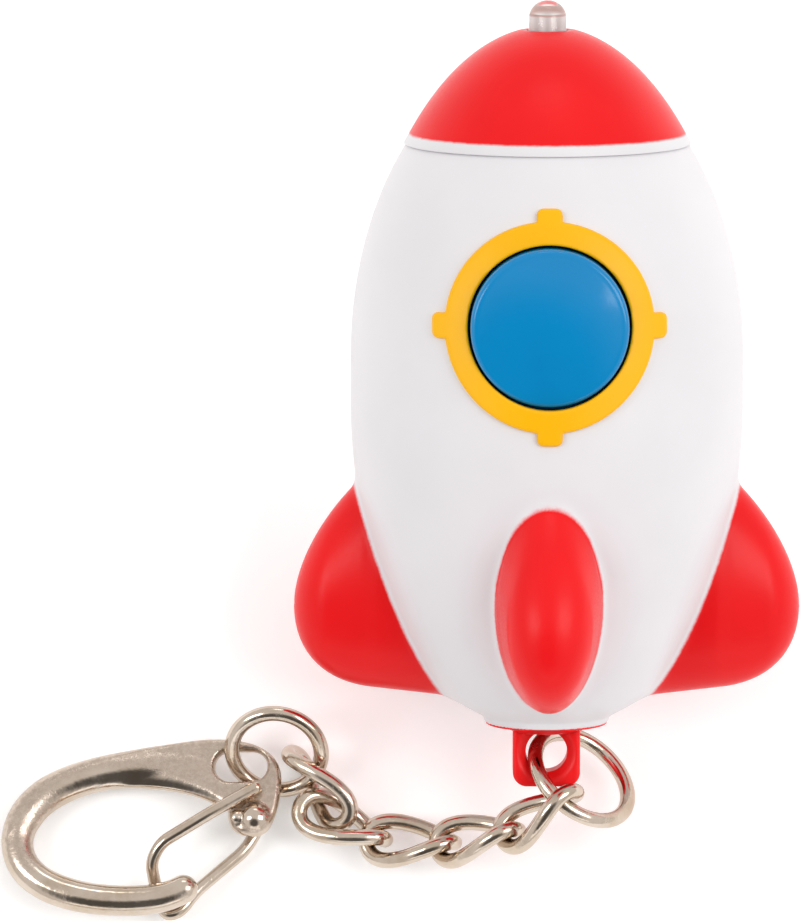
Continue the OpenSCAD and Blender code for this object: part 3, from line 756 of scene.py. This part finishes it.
def make_hook(material):
    """The hook and its gate, whose wire runs from the plate's face round the bow's tip to its pin."""
    points, faces = implicit_mesh(hook_distance, (-20.4, -8.6, -1.8), (2.8, 7, 1.8), HOOK_STEP)
    place = pose_matrix(HOOK_POSE)
    piece = new_piece("hook", points, faces, "snap_hook", place, ["snap_hook"])
    set_attribute(piece, "matte", matte_share(points))
    give(piece, material)
    route = [
        (0.4, 2.1, 1.2), (-3.4, -0.1, 1.2), (-7.3, -2.3, 0.5), (-8.1, -3.6, -0.3), (-7.9, -4.8, -1.3),
        (-7.6, -6.2, -1.85), (-7, -7.45, -1.85), (-5.9, -7.18, -1.85), (-4.7, -5.5, -1.9),
        (-0.9, -2.2, -1.85), (0, -0.6, -1.85), (0, 0, -1.5), (0, 0, 0.3),
    ]
    path = rounded_path(route, 0.8, 8)
    fine = [path[0]]
    for a, b in zip(path, path[1:]):
        pieces = max(1, int(np.linalg.norm(b - a) / 0.3))
        fine += [a + (b - a) * n / pieces for n in range(1, pieces + 1)]
    radii = wire_ends(GATE_WIRE / 2, len(fine))
    points, faces = sweep(fine, radii, 24, start_side=(0.3, -0.5, 1))
    piece = new_piece("gate", points, faces, "gate_wire", place, ["gate_wire"])
    give(piece, material)


# ---- Materials -----------------------------------------------------------------------------------

FINE_RELIEF, PLATING_RELIEF = 0.00003, 0.00006       # heights of the bumps, in metres


class Nodes:
    """Small helper that builds one material's node tree around its Principled shader."""

    def __init__(self, name):
        self.material = bpy.data.materials.new(name)
        self.material.use_nodes = True
        self.tree = self.material.node_tree
        self.shader = self.tree.nodes["Principled BSDF"]
        self.coords = self.add("ShaderNodeTexCoord")

    def add(self, kind, **values):
        node = self.tree.nodes.new(kind)
        for key, value in values.items():
            setattr(node, key, value)
        return node

    def link(self, source, target):
        self.tree.links.new(source, target)

    def set(self, **values):
        for key, value in values.items():
            self.shader.inputs[key.replace("_", " ")].default_value = value

    def noise(self, scale, detail, roughness=0.5):
        node = self.add("ShaderNodeTexNoise")
        node.inputs["Scale"].default_value = scale
        node.inputs["Detail"].default_value = detail
        node.inputs["Roughness"].default_value = roughness
        self.link(self.coords.outputs["Object"], node.inputs["Vector"])
        return node.outputs["Fac"]

    def ramp(self, source, low, high, out_low=0.0, out_high=1.0):
        node = self.add("ShaderNodeMapRange", interpolation_type="SMOOTHSTEP")
        limits = {"From Min": low, "From Max": high, "To Min": out_low, "To Max": out_high}
        for key, value in limits.items():
            node.inputs[key].default_value = value
        self.link(source, node.inputs["Value"])
        return node.outputs["Result"]

    def math(self, operation, a, b):
        node = self.add("ShaderNodeMath", operation=operation)
        for slot, value in enumerate((a, b)):
            if isinstance(value, (int, float)):
                node.inputs[slot].default_value = value
            else:
                self.link(value, node.inputs[slot])
        return node.outputs["Value"]

    def mix(self, share, a, b):
        node = self.add("ShaderNodeMix", data_type="RGBA")
        self.link(share, node.inputs["Factor"])
        for slot, value in (("A", a), ("B", b)):
            socket = [s for s in node.inputs if s.name == slot and s.type == "RGBA"][0]
            if isinstance(value, tuple):
                socket.default_value = (*value, 1)
            else:
                self.link(value, socket)
        return [s for s in node.outputs if s.type == "RGBA"][0]

    def bump(self, height, strength, distance):
        node = self.add("ShaderNodeBump")
        node.inputs["Strength"].default_value = strength
        node.inputs["Distance"].default_value = distance
        self.link(height, node.inputs["Height"])
        self.link(node.outputs["Normal"], self.shader.inputs["Normal"])

    def color(self, source):
        self.link(source, self.shader.inputs["Base Color"])

    def roughness(self, source):
        self.link(source, self.shader.inputs["Roughness"])


def srgb(red, green, blue):
    def channel(v):
        v /= 255
        return v / 12.92 if v <= 0.04045 else ((v + 0.055) / 1.055) ** 2.4

    return channel(red), channel(green), channel(blue)


def painted_plastic():
    """White moulded plastic with soft-edged red paint where the attribute says so."""
    n = Nodes("painted_white_plastic")
    edge = n.add("ShaderNodeAttribute", attribute_name="paint_edge").outputs["Fac"]
    wobble = n.math("MULTIPLY", n.math("SUBTRACT", n.noise(1500, 3), 0.5), 0.1)
    speck = n.math("MULTIPLY", n.math("SUBTRACT", n.noise(7000, 2), 0.5), 0.07)
    painted = n.ramp(n.math("ADD", n.math("ADD", edge, wobble), speck), -0.13, 0.12)
    tone = n.ramp(n.noise(120, 3), 0.3, 0.7)
    white = n.mix(tone, srgb(220, 218, 221), srgb(223, 221, 224))
    red = n.mix(tone, srgb(226, 21, 26), srgb(231, 26, 29))
    n.color(n.mix(painted, white, red))
    grain = n.noise(5200, 3)
    rough = n.math("ADD", n.ramp(grain, 0.3, 0.7, 0.34, 0.42), n.math("MULTIPLY", painted, -0.06))
    n.roughness(rough)
    height = n.math("ADD", n.math("MULTIPLY", grain, 0.25), painted)
    n.bump(height, 0.35, FINE_RELIEF)
    n.set(Specular_IOR_Level=0.16)
    return n.material


def gloss_plastic(name, low, high, rough=(0.16, 0.26), bump=0.12, specular=0.5):
    """Moulded plastic whose colour and roughness wander a little between two values."""
    n = Nodes(name)
    n.set(Specular_IOR_Level=specular)
    n.color(n.mix(n.ramp(n.noise(140, 4), 0.3, 0.7), low, high))
    n.roughness(n.ramp(n.noise(3500, 4), 0.3, 0.7, *rough))
    n.bump(n.noise(900, 3), bump, FINE_RELIEF)
    return n.material


def nickel():
    """Warm nickel plating: polished, but satin on the faces and worn where the attribute says so."""
    n = Nodes("nickel_plate")
    n.set(Metallic=1.0)
    matte = n.add("ShaderNodeAttribute", attribute_name="matte").outputs["Fac"]
    cloud = n.ramp(n.noise(260, 5, 0.6), 0.35, 0.7)
    tint = n.mix(cloud, srgb(208, 194, 180), srgb(190, 172, 152))
    fine = n.noise(4200, 3)
    speckle = n.ramp(n.noise(2600, 4, 0.7), 0.35, 0.65)
    dull = n.mix(speckle, srgb(182, 166, 152), srgb(200, 185, 171))
    n.color(n.mix(matte, tint, dull))
    worn = n.ramp(n.noise(420, 6, 0.7), 0.5, 0.66, 0, 0.14)
    rough = n.math("ADD", worn, n.ramp(fine, 0.3, 0.7, 0.1, 0.16))
    n.roughness(n.math("ADD", rough, n.math("MULTIPLY", matte, n.ramp(speckle, 0, 1, 0.2, 0.1))))
    height = n.math("ADD", n.math("MULTIPLY", n.noise(650, 4), 2.0), n.math("MULTIPLY", fine, 0.2))
    height = n.math("ADD", height, n.math("MULTIPLY", n.math("MULTIPLY", speckle, matte), 0.4))
    n.bump(height, 0.28, PLATING_RELIEF)
    return n.material


def steel(name, low, high, rough=(0.22, 0.36)):
    """Plain metal of the screws and of the pieces inside."""
    n = Nodes(name)
    n.set(Metallic=1.0)
    n.color(n.mix(n.ramp(n.noise(500, 4), 0.3, 0.7), low, high))
    n.roughness(n.ramp(n.noise(4000, 4), 0.3, 0.7, *rough))
    n.bump(n.noise(2500, 3), 0.1, FINE_RELIEF)
    return n.material


def clear_epoxy():
    """Clear epoxy, a little hazy and warm."""
    n = Nodes("clear_epoxy")
    n.set(Transmission_Weight=0.92, IOR=1.4)
    n.color(n.mix(n.ramp(n.noise(400, 3), 0.3, 0.7), (0.96, 0.93, 0.92), (0.99, 0.97, 0.96)))
    n.roughness(n.ramp(n.noise(3000, 3), 0.3, 0.7, 0.04, 0.1))
    n.bump(n.noise(700, 2), 0.05, FINE_RELIEF)
    return n.material


def led_frame():
    """The pale metal cup that fills the lens, with soft bands up its height and a painted pinkish
    highlight on top.
    """
    n = Nodes("led_frame")
    wave = n.add("ShaderNodeTexWave", wave_type="BANDS", bands_direction="X")
    wave.inputs["Scale"].default_value = 420
    wave.inputs["Distortion"].default_value = 1.5
    n.link(n.coords.outputs["Object"], wave.inputs["Vector"])
    bands = n.mix(wave.outputs["Fac"], srgb(226, 222, 221), srgb(250, 249, 248))
    height = n.add("ShaderNodeAttribute", attribute_name="height").outputs["Fac"]
    # A painted pinkish-red highlight on the cup's top, above 26.1 mm.
    top = n.ramp(height, 26.1, 26.25)
    n.color(n.mix(top, bands, srgb(206, 164, 154)))
    n.roughness(n.ramp(n.noise(3000, 3), 0.3, 0.7, 0.35, 0.5))
    return n.material


def dress_hidden_nodes(materials):
    """Every CAD node that stays gets a material by its slot."""
    slots = {row["node"]: row["material_slot"] for row in frame["record"]["subparts"]}
    for node, piece in frame["nodes"].items():
        if not piece.hide_render:
            give(piece, materials[slots[node]])


# ---- Scene ---------------------------------------------------------------------------------------

TOY_CENTRE = (0, 0, 0.01)
# Softboxes in metres and watts: name, place, size and power
SOFTBOXES = [
    ("key", (0.42, -0.02, 0.55), (0.3, 0.4), 1.7),
    ("fill", (-0.45, -0.05, 0.5), (0.2, 0.3), 1.0),
    ("back", (0.02, 0.6, 0.4), (0.3, 0.12), 0.25),
    ("low", (0.0, -0.65, 0.22), (0.7, 0.14), 0.25),
]
# The room's light: its strength away from the dark patch and in it, the patch's direction, and the
# cosines of the angles at its soft edge and at its core
ROOM_LIGHT, PATCH_LIGHT = 0.86, 0.12
PATCH_TOWARD, PATCH_EDGE, PATCH_CORE = (-0.1, -0.64, 0.76), 0.79, 0.95


def make_floor():
    size = 0.6
    mesh = bpy.data.meshes.new("floor")
    corners = [(-size, -size, 0), (size, -size, 0), (size, size, 0), (-size, size, 0)]
    mesh.from_pydata(corners, [], [(0, 1, 2, 3)])
    floor = bpy.data.objects.new("floor", mesh)
    bpy.context.scene.collection.objects.link(floor)
    n = Nodes("floor_paper")
    n.color(n.mix(n.noise(40, 3), (0.93, 0.93, 0.93), (0.95, 0.95, 0.95)))
    n.set(Roughness=0.9, Emission_Color=(1, 1, 1, 1), Emission_Strength=0.22)
    give(floor, n.material)


def add_light(name, place, size, power):
    """A rectangular softbox turned toward the toy."""
    light = bpy.data.lights.new(name, "AREA")
    light.shape = "RECTANGLE"
    light.size, light.size_y = size
    light.energy = power
    lamp = bpy.data.objects.new(name, light)
    bpy.context.scene.collection.objects.link(lamp)
    lamp.location = place
    toward = Vector(TOY_CENTRE) - Vector(place)
    lamp.rotation_euler = toward.to_track_quat("-Z", "Y").to_euler()


def make_lights():
    """A white room with a soft dark patch high on its -Y side, and four softboxes."""
    world = bpy.data.worlds.new("studio")
    bpy.context.scene.world = world
    world.use_nodes = True
    tree = world.node_tree
    background = tree.nodes["Background"]
    coords = tree.nodes.new("ShaderNodeTexCoord")
    dot = tree.nodes.new("ShaderNodeVectorMath")
    dot.operation = "DOT_PRODUCT"
    dot.inputs[1].default_value = Vector(PATCH_TOWARD).normalized()
    tree.links.new(coords.outputs["Generated"], dot.inputs[0])
    dark = tree.nodes.new("ShaderNodeMapRange")
    dark.interpolation_type = "SMOOTHSTEP"
    dark.inputs["From Min"].default_value = PATCH_EDGE
    dark.inputs["From Max"].default_value = PATCH_CORE
    dark.inputs["To Min"].default_value = ROOM_LIGHT
    dark.inputs["To Max"].default_value = PATCH_LIGHT
    tree.links.new(dot.outputs["Value"], dark.inputs["Value"])
    tree.links.new(dark.outputs["Result"], background.inputs["Strength"])
    background.inputs["Color"].default_value = (1, 0.985, 0.97, 1)
    for row in SOFTBOXES:
        add_light(*row)
    bpy.context.scene.view_settings.view_transform = "Standard"


def make_camera():
    camera = bpy.data.cameras.new("camera")
    camera.lens = 378.57
    camera.sensor_width = 36
    camera.clip_start, camera.clip_end = 0.01, 5
    eye = bpy.data.objects.new("camera", camera)
    bpy.context.scene.collection.objects.link(eye)
    eye.location = (-0.011308, -0.13187, 0.74778)
    eye.rotation_euler = (math.radians(10.5), 0, 0)
    bpy.context.scene.camera = eye


def main():
    make_camera()
    make_lights()
    make_floor()
    painted = painted_plastic()
    metal = nickel()
    shiny = steel("zinc_plate", srgb(196, 196, 198), srgb(170, 171, 174))
    yellow = gloss_plastic(
        "yellow_plastic", srgb(240, 176, 2), srgb(244, 180, 4), (0.32, 0.42), specular=0.22)
    blue = gloss_plastic("blue_plastic", srgb(0, 125, 183), srgb(0, 129, 188), (0.1, 0.17), specular=0.38)
    red = gloss_plastic(
        "red_plastic", srgb(234, 22, 26), srgb(240, 27, 30), (0.3, 0.4), bump=0.05, specular=0.25)
    black = gloss_plastic("black_plastic", srgb(28, 28, 30), srgb(38, 38, 41), (0.4, 0.55))
    make_shells(painted)
    make_door(painted)
    make_nose_cap(painted)
    make_bezel(yellow)
    make_button(blue)
    make_tab(red)
    make_lens(clear_epoxy(), led_frame())
    make_chain(metal)
    make_hook(metal)
    dress_hidden_nodes({
        "white_plastic": painted, "red_paint": painted, "yellow_plastic": yellow, "red_plastic": red,
        "blue_plastic": blue, "clear_lens": shiny, "nickel": metal, "screw_steel": shiny,
        "cell_steel": steel("cell_can", srgb(212, 212, 214), srgb(190, 190, 194), (0.15, 0.25)),
        "contact_brass": steel("spring_brass", srgb(214, 180, 104), srgb(196, 160, 88)),
        "board_green": gloss_plastic("solder_mask", srgb(16, 84, 44), srgb(22, 100, 54)),
        "black_plastic": black,
    })


main()
